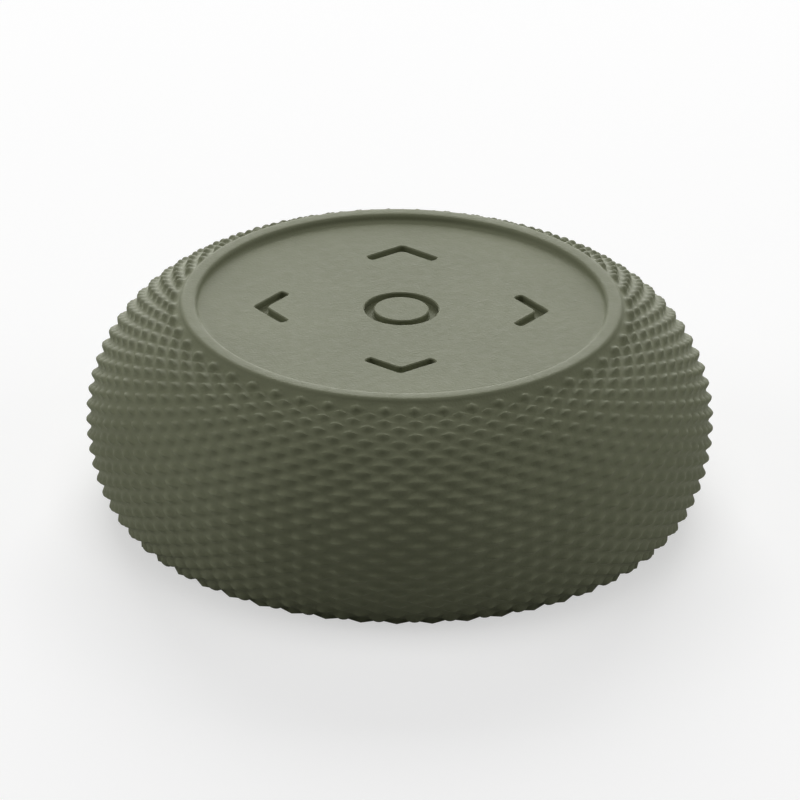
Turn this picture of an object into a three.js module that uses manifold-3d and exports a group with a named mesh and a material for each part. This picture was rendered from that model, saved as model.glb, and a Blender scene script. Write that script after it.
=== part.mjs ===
// A soft moulded grip cap for a thumb, stretched over a round head that it holds by a lip.
// It is one piece of silicone rubber: a flat thumb pad inside a low raised rim, a rounded
// side covered by a diamond knurl, and underneath a cavity for the head, closed round its
// edge by a lip that leaves an open mouth.
// The axis is Z, and the flat base ring stands on z = 0. All lengths are in millimetres.

import * as THREE from "three";
import { mergeVertices } from "three/addons/utils/BufferGeometryUtils.js";
import Module from "manifold-3d";

// The round head that the cap is made for, and how the cap holds it.
const headDiameter = 18.7;
const headHeight = 4.9;
const squeeze = 0.3;
const lipReach = 2.15;

// Thickness of the cap round the head.
const sideWall = 1.8;
const padThickness = 1.1;
const lipThickness = 1.35;

// Outer shape of the side, below and above its widest circle.
const widestHeight = 3.2;
const baseTuck = 1.1;
const baseCut = 0.4;
const shoulderWidth = 3.25;
const shoulderCut = 0.07;

// Raised rim round the thumb pad.
const padRecess = 0.25;
const rimWidth = 0.6;
const rimRound = 0.15;
const rimStand = 0.15;

// Rounded edges of the cavity and of the lip.
const cavityRound = 1.6;
const lipRound = 0.4;

// Diamond knurl: diamonds round the cap, rows of diamonds up the side, and its depth.
const knurlCount = 50;
const knurlRows = 16;
const knurlDepth = 0.22;

// Direction marks sunk into the pad: four carets round a small ring.
const markDepth = 0.28;
const markLine = 0.34;
const caretCount = 4;
const caretSpan = 2.5;
const caretRise = 0.95;
const caretMargin = 2.0;
const ringDiameter = 2.6;

// How finely the round forms are drawn, and how far a cutter runs past what it cuts.
const roundSteps = 3;
const cavitySteps = 60;
const ringSteps = 32;
const cutOvershoot = 1;

// Sizes that follow from the ones above.
const cavityRadius = (headDiameter - squeeze) / 2;
const cavityCeiling = lipThickness + headHeight;
const mouthRadius = headDiameter / 2 - lipReach;
const outerRadius = cavityRadius + sideWall;
const padHeight = cavityCeiling + padThickness;
const rimHeight = padHeight + padRecess;
const rimRadius = outerRadius - shoulderWidth;
const padRadius = rimRadius - rimWidth;

// Rounded edges are never larger than the walls that they are on.
const rimEdge = Math.min(rimRound, rimWidth / 2, padRecess, rimStand);
const lipEdge = Math.min(lipRound, lipThickness / 2);
const cavityEdge = Math.min(cavityRound, headHeight / 2, cavityRadius - mouthRadius - lipEdge);

const wasm = await Module();
wasm.setup();

// A closed three.js geometry as a solid that can be cut.
function toSolid(geometry) {
  geometry.deleteAttribute("normal");
  geometry.deleteAttribute("uv");
  const merged = mergeVertices(geometry);
  return new wasm.Manifold(
    new wasm.Mesh({
      numProp: 3,
      vertProperties: merged.attributes.position.array,
      triVerts: new Uint32Array(merged.index.array),
    }),
  );
}

// The solid's surface as a three.js geometry again.
function toGeometry(solid) {
  const { vertProperties, triVerts } = solid.getMesh();
  const geometry = new THREE.BufferGeometry();
  geometry.setAttribute("position", new THREE.BufferAttribute(vertProperties, 3));
  geometry.setIndex(new THREE.BufferAttribute(triVerts, 1));
  geometry.computeVertexNormals();
  return geometry;
}

// Points along an arc of a given radius about (x, y), from one angle to the other in
// degrees.
function roundEdge(x, y, radius, fromDegrees, toDegrees) {
  const start = THREE.MathUtils.degToRad(fromDegrees);
  const end = THREE.MathUtils.degToRad(toDegrees);
  const arc = new THREE.EllipseCurve(x, y, radius, radius, start, end, end < start);
  return arc.getPoints(roundSteps);
}

// An elliptical arc that leaves the widest circle upright and goes inwards by reach over
// height, where it is cut off: it would go on by cut more before it turned flat.
function cutArc(reach, height, cut) {
  const angle = Math.asin(height / (height + cut));
  return { across: reach / (1 - Math.cos(angle)), up: height + cut, angle };
}

// The side's section from the base up to the rim: two elliptical arcs that meet at the
// widest circle, cut off by the base and by the rim.
function sideSection() {
  const lower = cutArc(baseTuck, widestHeight, baseCut);
  const upper = cutArc(shoulderWidth, rimHeight - rimStand - widestHeight, shoulderCut);
  const section = new THREE.Path();
  section.absellipse(
    outerRadius - lower.across, widestHeight, lower.across, lower.up, -lower.angle, 0, false,
  );
  section.absellipse(
    outerRadius - upper.across, widestHeight, upper.across, upper.up, 0, upper.angle, false,
  );
  return section;
}

// The raised rim's section, from its outer foot over the top and down to the pad.
function rimSection() {
  const top = rimHeight - rimEdge;
  return [
    ...roundEdge(rimRadius - rimEdge, top, rimEdge, 0, 90),
    ...roundEdge(padRadius + rimEdge, top, rimEdge, 90, 180),
    new THREE.Vector2(padRadius, padHeight),
  ];
}

// The outer body without its cavity. Each knurl row is a ring of points that are crests
// and grooves by turns, offset by one from row to row, so that four grooves surround each
// crest. Every cell is split from groove to groove, which makes the crests pyramids.
function knurledBody() {
  const side = sideSection();
  const rows = 2 * knurlRows;
  const columns = 2 * knurlCount;
  const crests = [];
  const grooves = [];
  for (let row = 0; row <= rows; row += 1) {
    const crest = side.getPoint(row / rows);
    const along = side.getTangent(row / rows);
    const groove = new THREE.Vector2(
      crest.x - along.y * knurlDepth,
      crest.y + along.x * knurlDepth,
    );
    crests.push(crest);
    grooves.push(groove);
  }
  // The lowest row lies in the base's plane, and the highest is the smooth foot of the rim.
  grooves[0].y = crests[0].y;
  grooves[rows] = crests[rows];

  const outline = [
    new THREE.Vector2(0, 0),
    ...crests,
    ...rimSection(),
    new THREE.Vector2(0, padHeight),
  ];
  const lathe = new THREE.LatheGeometry(outline, columns);
  const position = lathe.attributes.position;
  const index = lathe.index;
  const isCrest = (column, row) => (column + row) % 2 === 0;
  for (let column = 0; column <= columns; column += 1) {
    const angle = (column / columns) * 2 * Math.PI;
    for (let row = 0; row <= rows; row += 1) {
      const { x, y } = isCrest(column, row) ? crests[row] : grooves[row];
      const vertex = column * outline.length + row + 1;
      position.setXYZ(vertex, x * Math.sin(angle), y, x * Math.cos(angle));
    }
  }
  for (let column = 0; column < columns; column += 1) {
    for (let row = 0; row < rows; row += 1) {
      if (isCrest(column, row)) continue;
      const near = column * outline.length + row + 1;
      const far = near + outline.length;
      const cell = 6 * (column * (outline.length - 1) + row + 1);
      [near, far, far + 1, near, far + 1, near + 1].forEach((vertex, corner) => {
        index.setX(cell + corner, vertex);
      });
    }
  }
  return toSolid(lathe.rotateX(Math.PI / 2));
}

// The space that the head fills, with the mouth that it comes in through.
function headCavity() {
  const lipCentre = mouthRadius + lipEdge;
  const cornerCentre = cavityRadius - cavityEdge;
  const outline = [
    new THREE.Vector2(0, -cutOvershoot),
    new THREE.Vector2(lipCentre, -cutOvershoot),
    ...roundEdge(lipCentre, lipEdge, lipEdge, 270, 180),
    ...roundEdge(lipCentre, lipThickness - lipEdge, lipEdge, 180, 90),
    ...roundEdge(cornerCentre, lipThickness + cavityEdge, cavityEdge, -90, 0),
    ...roundEdge(cornerCentre, cavityCeiling - cavityEdge, cavityEdge, 0, 90),
    new THREE.Vector2(0, cavityCeiling),
  ];
  return toSolid(new THREE.LatheGeometry(outline, cavitySteps).rotateX(Math.PI / 2));
}

// A flat shape as a cutter that sinks markDepth into the pad.
function padCutter(shape) {
  const cutter = new THREE.ExtrudeGeometry(shape, {
    depth: markDepth + cutOvershoot,
    bevelEnabled: false,
    curveSegments: ringSteps,
  });
  return cutter.translate(0, 0, padHeight - markDepth);
}

// One caret of constant line width and square ends that points outwards along +Y, with
// its tip caretMargin inside the pad's edge.
function caretShape() {
  const arm = new THREE.Vector2(caretSpan / 2, -caretRise);
  const across = new THREE.Vector2(caretRise, caretSpan / 2).setLength(markLine);
  const tip = new THREE.Vector2(0, padRadius - caretMargin);
  const innerTip = new THREE.Vector2(0, tip.y - markLine ** 2 / across.y);
  const end = tip.clone().add(arm);
  const innerEnd = end.clone().sub(across);
  return new THREE.Shape([
    tip,
    new THREE.Vector2(-end.x, end.y),
    new THREE.Vector2(-innerEnd.x, innerEnd.y),
    innerTip,
    innerEnd,
    end,
  ]);
}

// The small ring in the middle of the pad.
function ringShape() {
  const outer = ringDiameter / 2;
  const ring = new THREE.Shape().absarc(0, 0, outer, 0, 2 * Math.PI, false);
  ring.holes.push(new THREE.Path().absarc(0, 0, outer - markLine, 0, 2 * Math.PI, true));
  return ring;
}

// All the direction marks together.
function padMarks() {
  let marks = toSolid(padCutter(ringShape()));
  for (let n = 0; n < caretCount; n += 1) {
    const caret = padCutter(caretShape()).rotateZ((n / caretCount) * 2 * Math.PI);
    marks = marks.add(toSolid(caret));
  }
  return marks;
}

const silicone = new THREE.MeshStandardMaterial({
  name: "silicone",
  color: new THREE.Color("rgb(122, 126, 104)"),
  roughness: 0.85,
  metalness: 0,
});

const cap = knurledBody().subtract(headCavity()).subtract(padMarks());
const thumbGrip = new THREE.Mesh(toGeometry(cap), silicone);
thumbGrip.name = "thumb_grip";

const controllerThumbGrip = new THREE.Group();
controllerThumbGrip.add(thumbGrip);

export default controllerThumbGrip;
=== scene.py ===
"""A soft thumb grip cap moulded in olive silicone, with a diamond knurl round its side.

The cap is one piece: a flat thumb pad inside a low raised rim, a rounded side covered by a
diamond knurl, and a lipped cavity underneath. All lengths are in metres.
"""

import logging
import math
from dataclasses import dataclass
from enum import Enum
from typing import Callable

import bpy
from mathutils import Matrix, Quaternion, Vector


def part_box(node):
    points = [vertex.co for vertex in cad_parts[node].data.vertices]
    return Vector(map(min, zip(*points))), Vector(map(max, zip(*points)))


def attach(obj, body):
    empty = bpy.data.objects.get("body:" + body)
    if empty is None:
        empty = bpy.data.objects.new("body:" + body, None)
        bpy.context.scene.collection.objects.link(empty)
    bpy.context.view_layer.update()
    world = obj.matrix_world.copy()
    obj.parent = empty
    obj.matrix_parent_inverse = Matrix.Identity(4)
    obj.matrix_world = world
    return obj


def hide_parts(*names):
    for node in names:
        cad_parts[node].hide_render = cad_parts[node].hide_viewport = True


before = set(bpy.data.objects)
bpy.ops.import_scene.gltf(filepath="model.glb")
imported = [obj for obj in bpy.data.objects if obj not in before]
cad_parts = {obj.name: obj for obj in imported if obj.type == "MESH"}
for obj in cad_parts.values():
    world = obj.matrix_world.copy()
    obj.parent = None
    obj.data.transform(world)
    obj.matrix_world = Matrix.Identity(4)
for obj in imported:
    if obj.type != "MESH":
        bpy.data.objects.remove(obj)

MM = 0.001
NODE = "thumb_grip"
BODY = "root"
MERGE_GAP = 0.001 * MM
WHITE = (1.0, 1.0, 1.0, 1.0)

log = logging.getLogger("thumb_grip_scene")

Point = tuple[float, float]
Place = tuple[float, float, float]


class Axis(Enum):
    """The axes that a section is spun round or a camera is rolled about."""

    UP = (0.0, 0.0, 1.0)


def srgb(red: int, green: int, blue: int) -> tuple[float, float, float, float]:
    """A screen colour as the linear colour that a shader takes.

    Args:
        red: Red from 0 to 255.
        green: Green from 0 to 255.
        blue: Blue from 0 to 255.

    Returns:
        Linear red, green, blue and an alpha of 1.
    """
    linear = []
    for value in (red, green, blue):
        share = value / 255
        linear.append(share / 12.92 if share <= 0.04045 else ((share + 0.055) / 1.055) ** 2.4)
    return (linear[0], linear[1], linear[2], 1.0)


def arc(centre: Point, radii: Point, start: float, end: float, steps: int) -> list[Point]:
    """Points along a stretch of an ellipse.

    Args:
        centre: The ellipse's centre.
        radii: Its two half widths.
        start: Angle of the first point, in degrees.
        end: Angle of the last point, in degrees.
        steps: Number of steps between them.

    Returns:
        steps + 1 points.
    """
    points = []
    for step in range(steps + 1):
        angle = math.radians(start + (end - start) * step / steps)
        points.append((centre[0] + radii[0] * math.cos(angle), centre[1] + radii[1] * math.sin(angle)))
    return points


def deselect() -> None:
    """Deselects every object, so that an operator acts only on the new piece."""
    bpy.ops.object.select_all(action="DESELECT")


def draw_line(name: str, places: list[Place]) -> bpy.types.Object:
    """Draws a line of edges as a new object, and leaves it selected in edit mode.

    Args:
        name: The new object's name.
        places: The line's points, in order.

    Returns:
        The new object.
    """
    deselect()
    bpy.ops.mesh.primitive_plane_add(size=MM, location=(0, 0, 0))
    piece = bpy.context.object
    piece.name = name
    bpy.ops.object.mode_set(mode="EDIT")
    bpy.ops.mesh.select_mode(type="VERT")
    bpy.ops.mesh.select_all(action="SELECT")
    bpy.ops.mesh.merge(type="CENTER")
    bpy.ops.transform.translate(value=places[0])
    for before, after in zip(places, places[1:]):
        step = Vector(after) - Vector(before)
        bpy.ops.mesh.extrude_vertices_move(TRANSFORM_OT_translate={"value": step})
    bpy.ops.mesh.select_all(action="SELECT")
    return piece


def spin_section(name: str, section: list[Point], steps: int, closed: bool) -> bpy.types.Object:
    """Draws a half section beside the Z axis and spins it into a closed round body.

    Args:
        name: The new object's name.
        section: Radius and height of each of the section's points.
        steps: Number of columns round the body.
        closed: Whether the section's last point joins its first.

    Returns:
        The new object, in object mode.
    """
    piece = draw_line(name, [(radius, 0, height) for radius, height in section])
    if closed:
        bpy.ops.mesh.edge_face_add()
        bpy.ops.mesh.delete(type="ONLY_FACE")
        bpy.ops.mesh.select_all(action="SELECT")
    bpy.ops.mesh.spin(steps=steps, angle=math.tau, center=(0, 0, 0), axis=Axis.UP.value)
    bpy.ops.mesh.select_all(action="SELECT")
    bpy.ops.mesh.remove_doubles(threshold=MERGE_GAP)
    bpy.ops.mesh.normals_make_consistent(inside=False)
    bpy.ops.object.mode_set(mode="OBJECT")
    return piece


def select_points(piece: bpy.types.Object, wanted: Callable[[Vector], bool]) -> None:
    """Selects a piece's points by their place, and leaves it in edit mode.

    Args:
        piece: The piece.
        wanted: Says of a point's place whether the point is selected.
    """
    bpy.ops.object.mode_set(mode="EDIT")
    bpy.ops.mesh.select_mode(type="VERT")
    bpy.ops.mesh.select_all(action="DESELECT")
    bpy.ops.object.mode_set(mode="OBJECT")
    chosen = [wanted(vertex.co) for vertex in piece.data.vertices]
    piece.data.vertices.foreach_set("select", chosen)
    bpy.ops.object.mode_set(mode="EDIT")


def select_faces(piece: bpy.types.Object, wanted: Callable[[bpy.types.MeshPolygon], bool]) -> None:
    """Selects a piece's faces by what they are, and leaves it in edit mode.

    Args:
        piece: The piece.
        wanted: Says of a face whether it is selected.
    """
    bpy.ops.object.mode_set(mode="EDIT")
    bpy.ops.mesh.select_mode(type="FACE")
    bpy.ops.mesh.select_all(action="DESELECT")
    bpy.ops.object.mode_set(mode="OBJECT")
    chosen = [wanted(face) for face in piece.data.polygons]
    piece.data.polygons.foreach_set("select", chosen)
    bpy.ops.object.mode_set(mode="EDIT")


@dataclass(frozen=True)
class SiliconeFinish:
    """Matte moulded silicone: an even olive with faint clouds and a very fine grain."""

    colour: tuple[float, float, float, float] = srgb(124, 128, 101)
    cloud_colour: tuple[float, float, float, float] = srgb(118, 122, 95)
    cloud_size: float = 5 * MM
    cloud_detail: int = 3
    cloud_low: float = 0.35
    cloud_high: float = 0.65
    grain_size: float = 0.09 * MM
    grain_height: float = 0.011 * MM
    grain_detail: int = 2
    pebble_size: float = 0.35 * MM
    pebble_height: float = 0.007 * MM
    least_roughness: float = 0.66
    most_roughness: float = 0.8
    specular: float = 0.35
    sheen: float = 0.06
    sheen_roughness: float = 0.5

    def material(self) -> bpy.types.Material:
        """Makes the material.

        Returns:
            A material with a Principled shader.
        """
        material = bpy.data.materials.new("olive_silicone")
        material.use_nodes = True
        tree = material.node_tree
        shader = tree.nodes["Principled BSDF"]
        place = tree.nodes.new("ShaderNodeTexCoord")
        shader.inputs["Specular IOR Level"].default_value = self.specular
        shader.inputs["Sheen Weight"].default_value = self.sheen
        shader.inputs["Sheen Roughness"].default_value = self.sheen_roughness

        clouds = self._noise(tree, place, self.cloud_size, self.cloud_detail)
        tint = tree.nodes.new("ShaderNodeValToRGB")
        tint.color_ramp.elements[0].position = self.cloud_low
        tint.color_ramp.elements[0].color = self.cloud_colour
        tint.color_ramp.elements[1].position = self.cloud_high
        tint.color_ramp.elements[1].color = self.colour
        tree.links.new(clouds.outputs["Fac"], tint.inputs["Fac"])
        tree.links.new(tint.outputs["Color"], shader.inputs["Base Color"])

        pebbles = self._noise(tree, place, self.pebble_size, self.grain_detail)
        gloss = tree.nodes.new("ShaderNodeMapRange")
        gloss.inputs["To Min"].default_value = self.least_roughness
        gloss.inputs["To Max"].default_value = self.most_roughness
        tree.links.new(pebbles.outputs["Fac"], gloss.inputs["Value"])
        tree.links.new(gloss.outputs["Result"], shader.inputs["Roughness"])

        grain = self._noise(tree, place, self.grain_size, self.grain_detail)
        coarse = self._bump(tree, pebbles, self.pebble_height)
        fine = self._bump(tree, grain, self.grain_height)
        tree.links.new(coarse.outputs["Normal"], fine.inputs["Normal"])
        tree.links.new(fine.outputs["Normal"], shader.inputs["Normal"])
        return material

    def _noise(
        self, tree: bpy.types.NodeTree, place: bpy.types.Node, size: float, detail: int
    ) -> bpy.types.Node:
        """A noise on the piece's own coordinates.

        Args:
            tree: The material's nodes.
            place: The texture coordinates.
            size: Rough size of one blotch.
            detail: Octaves of finer noise.

        Returns:
            The noise node.
        """
        noise = tree.nodes.new("ShaderNodeTexNoise")
        noise.inputs["Scale"].default_value = 1 / size
        noise.inputs["Detail"].default_value = detail
        tree.links.new(place.outputs["Object"], noise.inputs["Vector"])
        return noise

    def _bump(self, tree: bpy.types.NodeTree, noise: bpy.types.Node, height: float) -> bpy.types.Node:
        """A bump from a noise.

        Args:
            tree: The material's nodes.
            noise: The noise whose hills stand up.
            height: Their height.

        Returns:
            The bump node.
        """
        bump = tree.nodes.new("ShaderNodeBump")
        bump.inputs["Distance"].default_value = height
        tree.links.new(noise.outputs["Fac"], bump.inputs["Height"])
        return bump


@dataclass(frozen=True)
class SideSection:
    """The side's section: two elliptical arcs that meet at the widest circle.

    The base and the rim cut the arcs off before they turn flat.
    """

    outer_radius: float
    rim_radius: float
    top_height: float
    widest_height: float = 3.2 * MM
    base_tuck: float = 1.1 * MM
    base_cut: float = 0.4 * MM
    shoulder_cut: float = 0.07 * MM
    fine_steps: int = 400

    def _cut_arc(self, reach: float, height: float, cut: float, down: bool) -> list[Point]:
        """Points along an arc that leaves the widest circle upright.

        Args:
            reach: How far it goes inwards.
            height: How far it goes up or down.
            cut: How much further it would go before it turned flat.
            down: Whether it goes down.

        Returns:
            The points, in upward order.
        """
        turn = math.asin(height / (height + cut))
        across = reach / (1 - math.cos(turn))
        centre = (self.outer_radius - across, self.widest_height)
        start, end = (-turn, 0) if down else (0, turn)
        radii = (across, height + cut)
        return arc(centre, radii, math.degrees(start), math.degrees(end), self.fine_steps)

    def points(self, rows: int) -> list[Point]:
        """Points evenly spaced along the section, from the base up to the rim.

        Args:
            rows: Number of steps.

        Returns:
            rows + 1 points.
        """
        lower = self._cut_arc(self.base_tuck, self.widest_height, self.base_cut, down=True)
        shoulder = self.outer_radius - self.rim_radius
        rise = self.top_height - self.widest_height
        upper = self._cut_arc(shoulder, rise, self.shoulder_cut, down=False)
        fine = lower + upper[1:]
        lengths = [0.0]
        for before, after in zip(fine, fine[1:]):
            lengths.append(lengths[-1] + math.dist(before, after))
        points = []
        step = 1
        for row in range(rows + 1):
            along = lengths[-1] * row / rows
            while step < len(fine) - 1 and lengths[step] < along:
                step += 1
            share = (along - lengths[step - 1]) / (lengths[step] - lengths[step - 1])
            before = Vector(fine[step - 1])
            points.append(tuple(before.lerp(Vector(fine[step]), share)))
        return points


@dataclass(frozen=True)
class DiamondKnurl:
    """The moulded knurl: soft pyramids with a diamond base, between crossing grooves."""

    count: int = 50
    rows: int = 16
    depth: float = 0.22 * MM
    base_notch: float = 0.32 * MM
    wall_width: float = 0.1 * MM
    wall_rise: float = 0.125 * MM
    top_width: float = 0.11 * MM
    top_rise: float = 0.1 * MM

    def columns(self) -> int:
        """Number of columns of points round the cap."""
        return 2 * self.count

    def steps(self) -> int:
        """Number of steps between rows of points up the side."""
        return 2 * self.rows

    def is_crest(self, point: Vector, row: int) -> bool:
        """Whether a point of a row is a crest, and not a groove.

        Args:
            point: The point's place.
            row: The row that it is in.

        Returns:
            True for a crest.
        """
        turn = math.atan2(point.x, -point.y) / math.tau
        return (round(turn * self.columns()) + row) % 2 == 0

    def grooves(self, crests: list[Point]) -> list[Point]:
        """The section's points moved inwards by the knurl's depth.

        Args:
            crests: The section's points.

        Returns:
            A point for each, with the lowest one moved in the base's plane by its notch.
        """
        moved = []
        for row, crest in enumerate(crests):
            before = Vector(crests[max(row - 1, 0)])
            after = Vector(crests[min(row + 1, len(crests) - 1)])
            along = (after - before).normalized()
            moved.append((crest[0] - along.y * self.depth, crest[1] + along.x * self.depth))
        moved[0] = (crests[0][0] - self.base_notch, crests[0][1])
        return moved

    def lies_in(self, point: Vector, rows: dict[int, Point], crest: bool) -> bool:
        """Whether a point is a crest, or a groove point, of one of some rows.

        Args:
            point: The point's place.
            rows: Radius and height of each row, by its number.
            crest: Whether a crest is looked for, and not a groove point.

        Returns:
            True if it is.
        """
        radius = math.hypot(point.x, point.y)
        for row, (row_radius, row_height) in rows.items():
            if abs(radius - row_radius) < MERGE_GAP and abs(point.z - row_height) < MERGE_GAP:
                return self.is_crest(point, row) == crest
        return False

    def cut(self, cap: bpy.types.Object, crests: list[Point]) -> None:
        """Turns the smooth side into the knurl.

        Args:
            cap: The smooth round cap, whose side has the crests' rows of points.
            crests: The rows' radius and height.
        """
        top = len(crests) - 1
        grooves = self.grooves(crests)
        for row in range(top):
            level = {row: crests[row]}
            select_points(cap, lambda point: self.lies_in(point, level, crest=False))
            scale = grooves[row][0] / crests[row][0]
            centre = (0, 0, crests[row][1])
            bpy.ops.transform.resize(value=(scale, scale, 1), center_override=centre)
            bpy.ops.transform.translate(value=(0, 0, grooves[row][1] - crests[row][1]))

        groove_rows = dict(enumerate([*grooves[:top], crests[top]]))
        select_points(cap, lambda point: self.lies_in(point, groove_rows, crest=False))
        bpy.ops.mesh.vert_connect()
        crest_rows = dict(enumerate(crests[1:top], start=1))
        select_points(cap, lambda point: self.lies_in(point, crest_rows, crest=True))
        bpy.ops.mesh.dissolve_verts()

        bpy.ops.object.mode_set(mode="OBJECT")
        lattice = [self.lies_in(vertex.co, groove_rows, crest=False) for vertex in cap.data.vertices]
        select_faces(
            cap, lambda face: len(face.vertices) == 4 and all(lattice[n] for n in face.vertices)
        )
        bpy.ops.mesh.inset(thickness=self.wall_width, depth=self.wall_rise, use_individual=True)
        bpy.ops.mesh.inset(thickness=self.top_width, depth=self.top_rise, use_individual=True)
        bpy.ops.object.mode_set(mode="OBJECT")


@dataclass(frozen=True)
class PadMarks:
    """Direction marks sunk into the pad: four carets round a small ring."""

    pad_radius: float
    pad_height: float
    depth: float = 0.28 * MM
    line: float = 0.34 * MM
    flare: float = 0.035 * MM
    foot: float = 0.05 * MM
    above: float = 1 * MM
    caret_count: int = 4
    caret_span: float = 2.5 * MM
    caret_rise: float = 0.95 * MM
    caret_margin: float = 2.0 * MM
    corner: float = 0.16 * MM
    corner_steps: int = 3
    ring_diameter: float = 2.6 * MM
    ring_steps: int = 96

    def ring_cutter(self) -> bpy.types.Object:
        """The ring's cutter, spun from a section with flared sides.

        Returns:
            The cutter, in object mode.
        """
        outer = self.ring_diameter / 2
        inner = outer - self.line
        high = self.pad_height + self.above
        edge = self.pad_height + self.flare
        shoulder = self.pad_height - self.flare
        floor = self.pad_height - self.depth
        section = [
            (outer + 2 * self.flare, high),
            (outer + 2 * self.flare, edge),
            (outer, shoulder),
            (outer, floor + self.foot),
            (outer - self.foot, floor),
            (inner + self.foot, floor),
            (inner, floor + self.foot),
            (inner, shoulder),
            (inner - 2 * self.flare, edge),
            (inner - 2 * self.flare, high),
        ]
        return spin_section("ring_cutter", section, self.ring_steps, closed=True)

    def caret_outline(self) -> list[Place]:
        """A caret that points along +Y, wider than its line by the flare on each side.

        Returns:
            The outline's corners, above the pad.
        """
        extra = 2 * self.flare
        wide = self.line + 2 * extra
        along = Vector((self.caret_span / 2, -self.caret_rise)).normalized()
        across = Vector((-along.y, along.x))
        tip = Vector((0, self.pad_radius - self.caret_margin + extra / across.y))
        inner_tip = tip - Vector((0, wide / across.y))
        length = math.hypot(self.caret_span / 2, self.caret_rise) + 2 * extra
        end = tip + along * length
        inner_end = end - across * wide
        high = self.pad_height + self.above
        return [
            (tip.x, tip.y, high),
            (-end.x, end.y, high),
            (-inner_end.x, inner_end.y, high),
            (inner_tip.x, inner_tip.y, high),
            (inner_end.x, inner_end.y, high),
            (end.x, end.y, high),
        ]

    def caret_cutter(self, turn: float) -> bpy.types.Object:
        """A caret's cutter with rounded corners and flared sides.

        Args:
            turn: Its turn about the cap's axis, in radians.

        Returns:
            The cutter, in object mode.
        """
        cutter = draw_line("caret_cutter", self.caret_outline())
        bpy.ops.mesh.edge_face_add()
        bpy.ops.mesh.bevel(
            offset=self.corner, segments=self.corner_steps, affect="VERTICES", clamp_overlap=True
        )
        bpy.ops.mesh.select_all(action="SELECT")
        lift = self.above - self.flare
        bpy.ops.mesh.extrude_region_move(TRANSFORM_OT_translate={"value": (0, 0, -lift)})
        drop = self.depth - self.flare - self.foot
        bpy.ops.mesh.select_all(action="SELECT")
        bpy.ops.mesh.normals_make_consistent(inside=False)
        low = self.pad_height + self.flare
        select_faces(cutter, lambda face: face.center.z < low + MERGE_GAP)
        bpy.ops.mesh.inset(thickness=2 * self.flare, depth=2 * self.flare)
        bpy.ops.mesh.extrude_region_move(TRANSFORM_OT_translate={"value": (0, 0, -drop)})
        bpy.ops.mesh.inset(thickness=self.foot, depth=self.foot)
        bpy.ops.mesh.select_all(action="SELECT")
        bpy.ops.object.mode_set(mode="OBJECT")
        cutter.rotation_euler.z = turn
        bpy.ops.object.transform_apply(location=False, rotation=True, scale=False)
        return cutter

    def sink(self, cap: bpy.types.Object) -> None:
        """Cuts all the marks into the cap's pad.

        Args:
            cap: The finished cap.
        """
        cutters = [self.ring_cutter()]
        for number in range(self.caret_count):
            cutters.append(self.caret_cutter(number * math.tau / self.caret_count))
        deselect()
        for cutter in cutters:
            cutter.select_set(True)
        bpy.context.view_layer.objects.active = cutters[0]
        bpy.ops.object.join()
        deselect()
        cap.select_set(True)
        bpy.context.view_layer.objects.active = cap
        bpy.ops.object.modifier_add(type="BOOLEAN")
        modifier = cap.modifiers[-1]
        modifier.operation = "DIFFERENCE"
        modifier.solver = "EXACT"
        modifier.object = cutters[0]
        bpy.ops.object.modifier_apply(modifier=modifier.name)
        bpy.data.objects.remove(cutters[0])


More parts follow.
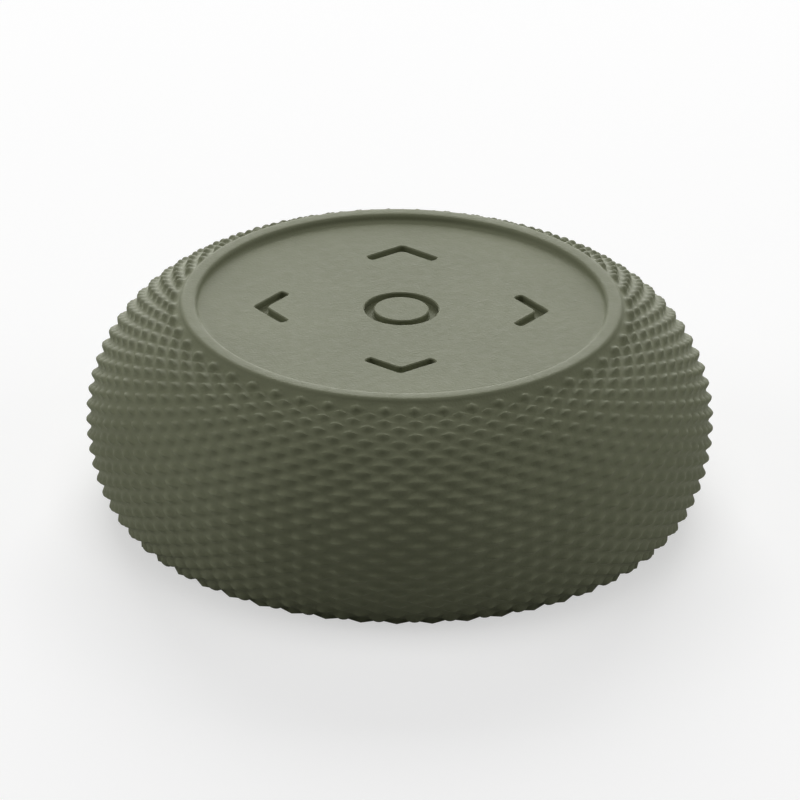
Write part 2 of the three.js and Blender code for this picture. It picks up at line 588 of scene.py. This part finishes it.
@dataclass(frozen=True)
class GripCap:
    """The whole cap: pad, rim, knurled side, base ring, lip and cavity."""

    outer_radius: float
    height: float
    finish: SiliconeFinish
    knurl: DiamondKnurl
    rim_width: float = 0.6 * MM
    rim_round: float = 0.15 * MM
    rim_stand: float = 0.15 * MM
    shoulder_width: float = 3.25 * MM
    pad_recess: float = 0.25 * MM
    pad_fillet: float = 0.1 * MM
    pad_edge_rings: tuple[int, ...] = (3, 6)
    fillet_steps: int = 2
    pad_thickness: float = 1.1 * MM
    side_wall: float = 1.8 * MM
    lip_thickness: float = 1.35 * MM
    mouth_radius: float = 7.2 * MM
    lip_round: float = 0.4 * MM
    cavity_round: float = 1.6 * MM
    base_edge: float = 0.12 * MM
    edge_crease: float = 0.7
    tooth_crease: float = 0.8
    round_steps: int = 4
    smooth_angle: float = math.radians(44)

    def rim_radius(self) -> float:
        """Outer radius of the raised rim."""
        return self.outer_radius - self.shoulder_width

    def pad_radius(self) -> float:
        """Radius of the flat pad inside the rim."""
        return self.rim_radius() - self.rim_width

    def pad_height(self) -> float:
        """Height of the pad above the base."""
        return self.height - self.pad_recess

    def cavity_section(self) -> list[Point]:
        """The section from the middle of the cavity's ceiling out, down and under the lip.

        Returns:
            Radius and height of each point, up to the base ring.
        """
        ceiling = self.pad_height() - self.pad_thickness
        wall = self.outer_radius - self.side_wall
        corner = wall - self.cavity_round
        corner_radii = (self.cavity_round, self.cavity_round)
        lip = self.mouth_radius + self.lip_round
        lip_radii = (self.lip_round, self.lip_round)
        steps = self.round_steps
        lip_top = self.lip_thickness - self.lip_round
        low_corner = (corner, self.lip_thickness + self.cavity_round)
        return [
            (0, ceiling),
            (corner / 3, ceiling),
            (corner * 2 / 3, ceiling),
            *arc((corner, ceiling - self.cavity_round), corner_radii, 90, 0, steps),
            *arc(low_corner, corner_radii, 0, -90, steps)[1:],
            *arc((lip, lip_top), lip_radii, 90, 180, steps),
            *arc((lip, self.lip_round), lip_radii, 180, 270, steps),
        ]

    def rim_section(self) -> list[Point]:
        """The section over the raised rim and across the pad to its middle.

        Returns:
            Radius and height of each point, from just above the rim's foot.
        """
        top = self.height - self.rim_round
        radii = (self.rim_round, self.rim_round)
        pad = self.pad_radius()
        low = self.pad_height()
        fillet = self.pad_fillet
        steps = self.round_steps
        return [
            *arc((self.rim_radius() - self.rim_round, top), radii, 0, 90, steps)[1:],
            *arc((pad + self.rim_round, top), radii, 90, 180, steps),
            *arc((pad - fillet, low + fillet), (fillet, fillet), 0, -90, self.fillet_steps)[1:],
            *[(pad - ring * fillet, low) for ring in self.pad_edge_rings],
            (pad * 2 / 3, low),
            (pad / 3, low),
            (0, low),
        ]

    def build(self) -> bpy.types.Object:
        """Models the cap.

        Returns:
            The finished cap, dressed.
        """
        top = self.height - self.rim_stand
        side = SideSection(self.outer_radius, self.rim_radius(), top)
        crests = side.points(self.knurl.steps())
        base_inner = crests[0][0] - self.knurl.base_notch - self.base_edge
        section = [
            *self.cavity_section(),
            ((self.mouth_radius + base_inner) / 2, 0),
            (base_inner, 0),
            *crests,
            *self.rim_section(),
        ]
        cap = spin_section("moulded_cap", section, self.knurl.columns(), closed=False)
        self.knurl.cut(cap, crests)
        self._soften(cap, crests)
        PadMarks(self.pad_radius(), self.pad_height()).sink(cap)
        self._shade(cap)
        cap.data.materials.clear()
        cap.data.materials.append(self.finish.material())
        return cap

    def _soften(self, cap: bpy.types.Object, crests: list[Point]) -> None:
        """Rounds the knurl and the edges as a mould does, and keeps the base's edge tight.

        Args:
            cap: The knurled cap.
            crests: Radius and height of the side's rows.
        """
        outer = crests[0][0] - self.knurl.base_notch
        select_points(
            cap,
            lambda point: abs(point.z) < MERGE_GAP and math.hypot(point.x, point.y) > outer - MERGE_GAP,
        )
        bpy.ops.transform.edge_crease(value=self.edge_crease)
        bpy.ops.transform.vert_crease(value=self.tooth_crease)
        bpy.ops.object.mode_set(mode="OBJECT")
        bpy.ops.object.modifier_add(type="SUBSURF")
        modifier = cap.modifiers[-1]
        modifier.levels = 1
        modifier.render_levels = 1
        bpy.ops.object.modifier_apply(modifier=modifier.name)

    def _shade(self, cap: bpy.types.Object) -> None:
        """Smooths the shading, with the large flat faces ruling it at the marks' edges.

        Args:
            cap: The finished cap.
        """
        deselect()
        cap.select_set(True)
        bpy.context.view_layer.objects.active = cap
        bpy.ops.object.shade_smooth_by_angle(angle=self.smooth_angle)
        bpy.ops.object.modifier_add(type="WEIGHTED_NORMAL")
        modifier = cap.modifiers[-1]
        modifier.keep_sharp = True
        bpy.ops.object.modifier_apply(modifier=modifier.name)


@dataclass(frozen=True)
class SoftLamp:
    """A square soft lamp that looks at the cap."""

    name: str
    place: Place
    watts: float
    side: float = 0.36

    def build(self) -> bpy.types.Object:
        """Adds the lamp.

        Returns:
            The lamp's object.
        """
        deselect()
        bpy.ops.object.light_add(type="AREA", location=self.place)
        lamp = bpy.context.object
        lamp.name = self.name
        lamp.data.size = self.side
        lamp.data.energy = self.watts
        lamp.rotation_euler = (-Vector(self.place)).to_track_quat("-Z", "Y").to_euler()
        return lamp


@dataclass(frozen=True)
class Studio:
    """A plain pale floor, soft lamps and the camera."""

    target: Place
    lamps: tuple[SoftLamp, ...] = (
        SoftLamp("lamp_back", (0, 0.47, 0.17), 2.9),
        SoftLamp("lamp_top", (0, 0, 0.5), 0.65),
        SoftLamp("lamp_left", (-0.47, 0, 0.17), 0.7),
        SoftLamp("lamp_right", (0.47, 0, 0.17), 0.52),
    )
    elevation: float = math.radians(26)
    roll: float = math.radians(0.87)
    distance: float = 0.5
    frame_width: float = 28 * MM
    sensor: float = 36.0
    floor_side: float = 6.0
    floor_gap: float = 0.01 * MM
    floor_shade: float = 0.6
    floor_shown: float = 0.5
    floor_lift: float = 0.55
    floor_roughness: float = 0.9
    ambient: float = 0.09

    def build(self) -> None:
        """Adds the floor, the world's light, the lamps and the camera."""
        self._floor()
        self._world()
        for lamp in self.lamps:
            lamp.build()
        self._camera()

    def _floor(self) -> None:
        """Adds the floor, which shows paler to the camera than the light it gives back."""
        deselect()
        bpy.ops.mesh.primitive_plane_add(size=self.floor_side, location=(0, 0, -self.floor_gap))
        floor = bpy.context.object
        floor.name = "floor"
        material = bpy.data.materials.new("pale_floor")
        material.use_nodes = True
        tree = material.node_tree
        shader = tree.nodes["Principled BSDF"]
        shader.inputs["Roughness"].default_value = self.floor_roughness
        shader.inputs["Specular IOR Level"].default_value = 0.0
        shader.inputs["Emission Color"].default_value = WHITE
        path = tree.nodes.new("ShaderNodeLightPath")
        tone = tree.nodes.new("ShaderNodeMapRange")
        tone.inputs["To Min"].default_value = self.floor_shade
        tone.inputs["To Max"].default_value = self.floor_shown
        glow = tree.nodes.new("ShaderNodeMapRange")
        glow.inputs["To Max"].default_value = self.floor_lift
        tree.links.new(path.outputs["Is Camera Ray"], tone.inputs["Value"])
        tree.links.new(path.outputs["Is Camera Ray"], glow.inputs["Value"])
        tree.links.new(tone.outputs["Result"], shader.inputs["Base Color"])
        tree.links.new(glow.outputs["Result"], shader.inputs["Emission Strength"])
        floor.data.materials.append(material)

    def _world(self) -> None:
        """Lights the scene evenly and shows white to the camera."""
        world = bpy.data.worlds.new("studio_world")
        bpy.context.scene.world = world
        world.use_nodes = True
        tree = world.node_tree
        background = tree.nodes["Background"]
        background.inputs["Color"].default_value = WHITE
        path = tree.nodes.new("ShaderNodeLightPath")
        level = tree.nodes.new("ShaderNodeMapRange")
        level.inputs["To Min"].default_value = self.ambient
        level.inputs["To Max"].default_value = 1.0
        tree.links.new(path.outputs["Is Camera Ray"], level.inputs["Value"])
        tree.links.new(level.outputs["Result"], background.inputs["Strength"])

    def _camera(self) -> None:
        """Adds the camera, far off with a long lens, and makes it the scene's."""
        deselect()
        target = Vector(self.target)
        back = Vector((0, -math.cos(self.elevation), math.sin(self.elevation)))
        bpy.ops.object.camera_add(location=target + back * self.distance)
        camera = bpy.context.object
        camera.name = "camera"
        camera.rotation_mode = "QUATERNION"
        turn = Quaternion(Axis.UP.value, self.roll)
        camera.rotation_quaternion = (-back).to_track_quat("-Z", "Y") @ turn
        camera.data.sensor_width = self.sensor
        camera.data.lens = self.sensor * self.distance / self.frame_width
        camera.data.clip_start = self.distance / 100
        camera.data.clip_end = self.floor_side * 2
        bpy.context.scene.camera = camera


def main() -> None:
    """Builds the cap and the studio round it, and reports each piece."""
    logging.basicConfig(level=logging.INFO, format="%(message)s")
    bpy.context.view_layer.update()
    low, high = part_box(NODE)
    cap = GripCap(
        outer_radius=(high.y - low.y) / 2,
        height=high.z - low.z,
        finish=SiliconeFinish(),
        knurl=DiamondKnurl(),
    ).build()
    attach(cap, BODY)
    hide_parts(NODE)
    log.info("%s: %d faces", cap.name, len(cap.data.polygons))

    scene = bpy.context.scene
    scene.view_settings.view_transform = "Standard"
    Studio(target=(0, 0, (high.z + low.z) / 2)).build()


if __name__ == "__main__":
    main()
